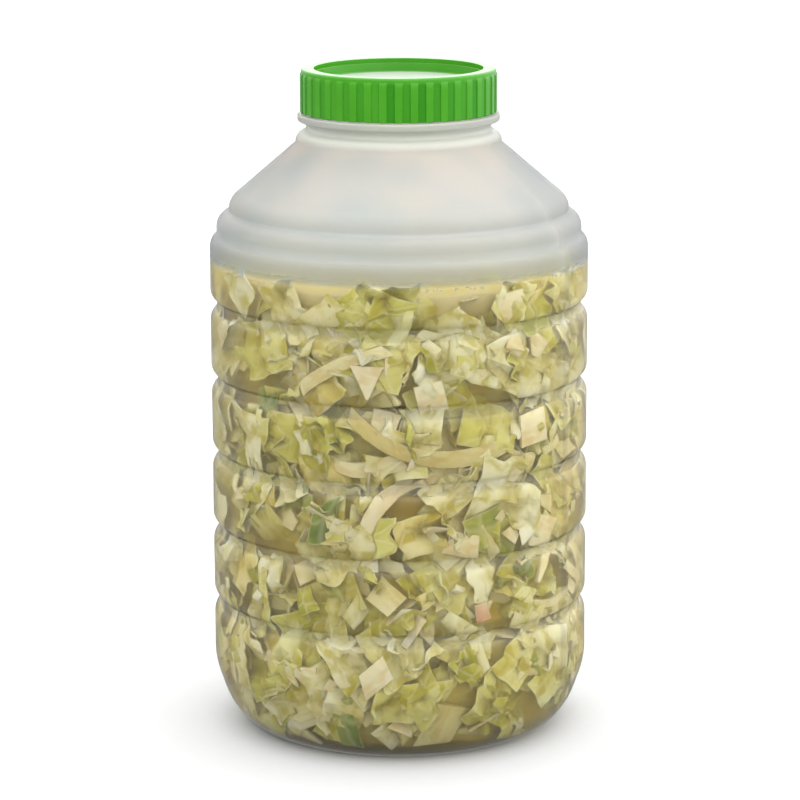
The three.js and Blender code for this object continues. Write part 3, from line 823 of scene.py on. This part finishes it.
# Bubbles: small pockets of gas from the ferment that gather at the brine's edge, half sunk in it. Each
# cluster has a middle in degrees to the right of the front, a spread in degrees and a number of bubbles.
bubble_sizes, bubble_rise, bubble_gap = (0.4, 1.3), 0.35, 0.4
bubble_rows = [(9, 3.0, 12), (19, 4.0, 22), (-40, 5.0, 12)]
cluster_count, cluster_span, cluster_spread, cluster_bubbles = 16, (60, 310), (2, 7), (4, 16)
bubble_clusters = [
    (azimuth, rng.uniform(*cluster_spread), rng.integers(*cluster_bubbles))
    for azimuth in rng.uniform(*cluster_span, cluster_count)]
bubble_turns = np.concatenate(
    [rng.normal(azimuth, spread, count) for azimuth, spread, count in bubble_rows + bubble_clusters])
bubble_across = rng.uniform(*bubble_sizes, bubble_turns.size)
bubble_bm = bmesh.new()
for azimuth, across in zip(bubble_turns, bubble_across):
    angle = math.radians(azimuth - 90)
    reach = float(inner_radius(brine_level)) - bubble_gap * across
    bubble_height = brine_level + rng.normal(0, bubble_rise)
    middle = (reach * math.cos(angle) * MM, reach * math.sin(angle) * MM, bubble_height * MM)
    bmesh.ops.create_icosphere(
        bubble_bm, subdivisions=1, radius=across / 2 * MM, matrix=Matrix.Translation(middle))

# Bubble skin: clear and glossy, a little milky, so that each bubble shows as a bright speck.
bubble_skin, tree, output = new_material("bubble_skin")
coords = add_node(tree, "ShaderNodeTexCoord")
film = add_node(
    tree, "ShaderNodeTexNoise", {"Scale": 1 / (3 * MM), "Detail": 1.0}, {"Vector": coords.outputs["Object"]})
clear_share = add_node(
    tree, "ShaderNodeMapRange", {"To Min": 0.2, "To Max": 0.7}, {"Value": film.outputs["Fac"]})
bubble_shader = add_node(
    tree, "ShaderNodeBsdfPrincipled", {"Base Color": linear("#FBF9F0"), "IOR": 1.2, "Roughness": 0.08},
    {"Transmission Weight": clear_share.outputs["Result"]})
tree.links.new(bubble_shader.outputs["BSDF"], output.inputs["Surface"])
finished("brine_bubbles", bubble_bm, bubble_skin, "cabbage")

# Floor: a wide sheet of pale studio paper that the jar stands on, which carries its soft shadow. It is kept
# out of reflections, so that the jar's edges stay dark against it.
floor_size = 16.0
floor_bm = bmesh.new()
bmesh.ops.create_grid(floor_bm, x_segments=8, y_segments=8, size=floor_size / 2)
floor_mesh = bpy.data.meshes.new("floor")
floor_bm.to_mesh(floor_mesh)
floor_bm.free()

# Pale sheet: matt and nearly white, with a trace of fibre, so that only the shadow shows on it.
pale_sheet, tree, output = new_material("pale_sheet")
coords = add_node(tree, "ShaderNodeTexCoord")
fibre = add_node(
    tree, "ShaderNodeTexNoise", {"Scale": 1 / (4 * MM), "Detail": 2.0}, {"Vector": coords.outputs["Object"]})
sheet_tone = add_node(
    tree, "ShaderNodeMix", {"A": linear("#DCDCDC"), "B": linear("#E0E0E0")}, {"Factor": fibre.outputs["Fac"]},
    data_type="RGBA")
sheet_shader = add_node(
    tree, "ShaderNodeBsdfPrincipled", {"Roughness": 0.9, "Specular IOR Level": 0.1},
    {"Base Color": sheet_tone.outputs["Result"]})
tree.links.new(sheet_shader.outputs["BSDF"], output.inputs["Surface"])
floor_mesh.materials.append(pale_sheet)
floor = bpy.data.objects.new("floor", floor_mesh)
bpy.context.scene.collection.objects.link(floor)
floor.visible_glossy = False

# Studio: a light tent that gives soft white light from all round, strongest from overhead and a little from
# the right. A low panel behind the jar brightens the lid's rim.
tent_foot = -0.1
horizon_light, overhead_light, lean_to_right, lean_to_front = 0.4, 2.06, 0.18, -0.12
panel_light, panel_height, panel_reach = 1.0, math.radians(9), math.radians(16)
world = bpy.data.worlds.new("light_tent")
world.use_nodes = True
world.node_tree.nodes.clear()
bpy.context.scene.world = world
tree = world.node_tree
coords = add_node(tree, "ShaderNodeTexCoord")
towards_light = add_node(
    tree, "ShaderNodeVectorMath", {1: (lean_to_right, -lean_to_front, 1.0)}, {0: coords.outputs["Generated"]},
    operation="DOT_PRODUCT")
tent_light = add_node(
    tree, "ShaderNodeMapRange",
    {"From Min": tent_foot, "To Min": horizon_light, "To Max": horizon_light + overhead_light},
    {"Value": towards_light.outputs["Value"]})
towards_panel = add_node(
    tree, "ShaderNodeVectorMath", {1: (0, math.cos(panel_height), math.sin(panel_height))},
    {0: coords.outputs["Generated"]}, operation="DOT_PRODUCT")
panel_glow = add_node(
    tree, "ShaderNodeMapRange",
    {"From Min": math.cos(panel_reach), "From Max": 1.0, "To Max": panel_light},
    {"Value": towards_panel.outputs["Value"]}, interpolation_type="SMOOTHSTEP")
all_light = add_node(
    tree, "ShaderNodeMath", links={0: tent_light.outputs["Result"], 1: panel_glow.outputs["Result"]},
    operation="ADD")
background = add_node(
    tree, "ShaderNodeBackground", {"Color": (1, 1, 1, 1)}, {"Strength": all_light.outputs["Value"]})
add_node(tree, "ShaderNodeOutputWorld", links={"Surface": background.outputs["Background"]})

# Camera: a long lens a little above the jar, looking down on it as in the photograph. The light paths are
# just long enough for light to pass the wall and the brine, and come out again.
camera_distance, camera_pitch, aim_height = 1.4903, math.radians(12.24), 0.146
focal_length, sensor_width, frame_shift = 149.3, 36.0, 0.0031
camera_roll = math.radians(0.15)
camera = bpy.data.cameras.new("camera")
camera.lens, camera.sensor_width, camera.shift_x = focal_length, sensor_width, frame_shift
camera_at = bpy.data.objects.new("camera", camera)
camera_at.location = (
    0, -camera_distance * math.cos(camera_pitch), aim_height + camera_distance * math.sin(camera_pitch))
camera_at.rotation_euler = (math.pi / 2 - camera_pitch, camera_roll, 0)
bpy.context.scene.collection.objects.link(camera_at)
bpy.context.scene.camera = camera_at
bpy.context.scene.view_settings.view_transform = "Standard"
light_paths = bpy.context.scene.cycles
light_paths.max_bounces, light_paths.transmission_bounces = 7, 7
light_paths.diffuse_bounces, light_paths.glossy_bounces = 1, 1
light_paths.volume_bounces = 2
light_paths.caustics_reflective = False
